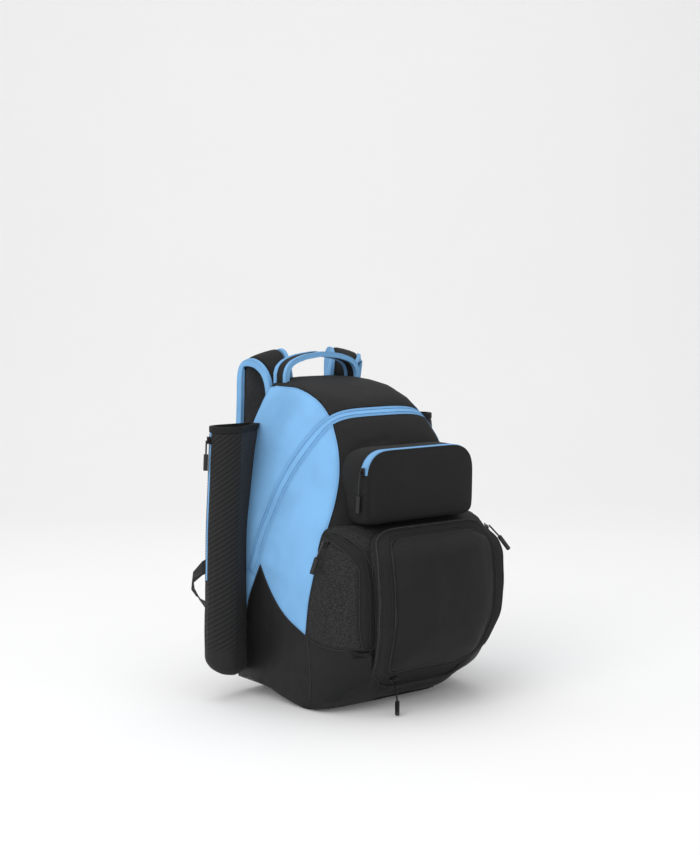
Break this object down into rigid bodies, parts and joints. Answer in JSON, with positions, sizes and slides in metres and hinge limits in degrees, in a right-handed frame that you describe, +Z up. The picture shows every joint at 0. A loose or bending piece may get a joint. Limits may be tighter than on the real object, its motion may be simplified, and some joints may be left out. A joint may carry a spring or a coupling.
{
  "type": "baseball bat backpack",
  "caption": "Baseball bat backpack with a blue-edged black body, open bat sleeves at the sides, zipped front pockets, a coated base, a haul loop and padded shoulder straps",
  "frame": {"origin": "middle of the bag's base rectangle, on the surface it stands on", "axes": "+X to the right when looking at the front pockets, -Y to the front with the pockets, +Y to the wearer's back, +Z up to the haul handle"},
  "size_m": [0.4552, 0.3906, 0.515],
  "materials": {
    "black": "plain woven black polyester, matt",
    "coated": "smooth coated black cloth, slightly glossy",
    "melange": "heathered dark grey woven cloth",
    "blue": "light blue woven polyester, matt",
    "mesh": "padded spacer mesh",
    "webbing": "ribbed woven webbing",
    "plastic": "moulded, satin",
    "metal": "black painted die-cast"
  },
  "bodies": {
    "root": {"side_panel_right": "blue", "side_panel_left": "blue", "top_panel": "black", "front_panel": "black", "main_zip_tape": "blue", "back_panel": "black", "centre_pocket_gusset": "melange", "centre_pocket_zip": "black", "centre_pocket_panel": "black", "base_tub": "coated", "front_yoke": "melange", "side_pocket_right": "melange", "side_pocket_zip_right": "black", "side_pocket_left": "melange", "side_pocket_zip_left": "black", "top_pocket_body": "black", "top_pocket_zip": "blue", "bat_sleeve_right": "melange", "sleeve_hem_right": "black", "sleeve_zip_tape_right": "blue", "bat_sleeve_left": "melange", "sleeve_hem_left": "black", "sleeve_zip_tape_left": "blue", "haul_handle": "black", "handle_binding_front": "blue", "handle_binding_back": "blue", "shoulder_strap_right": "black", "shoulder_strap_left": "black", "strap_mesh_right": "mesh", "strap_mesh_left": "mesh", "strap_binding_inner_right": "blue", "strap_binding_inner_left": "blue", "strap_binding_outer_right": "blue", "strap_binding_outer_left": "blue", "strap_lock_right": "plastic", "strap_webbing_right": "webbing", "strap_lock_left": "plastic", "strap_webbing_left": "webbing", "back_pad": "mesh", "main_slider": "metal", "main_pull": "plastic", "side_pocket_slider_left": "metal", "side_pocket_pull_left": "plastic", "side_pocket_slider_right": "metal", "side_pocket_pull_right": "plastic", "centre_slider": "metal", "centre_pull": "plastic", "top_pocket_slider": "metal", "top_pocket_pull": "plastic", "sleeve_slider_right": "metal", "sleeve_pull_right": "plastic", "sleeve_slider_left": "metal", "sleeve_pull_left": "plastic"}
  },
  "joints": []
}
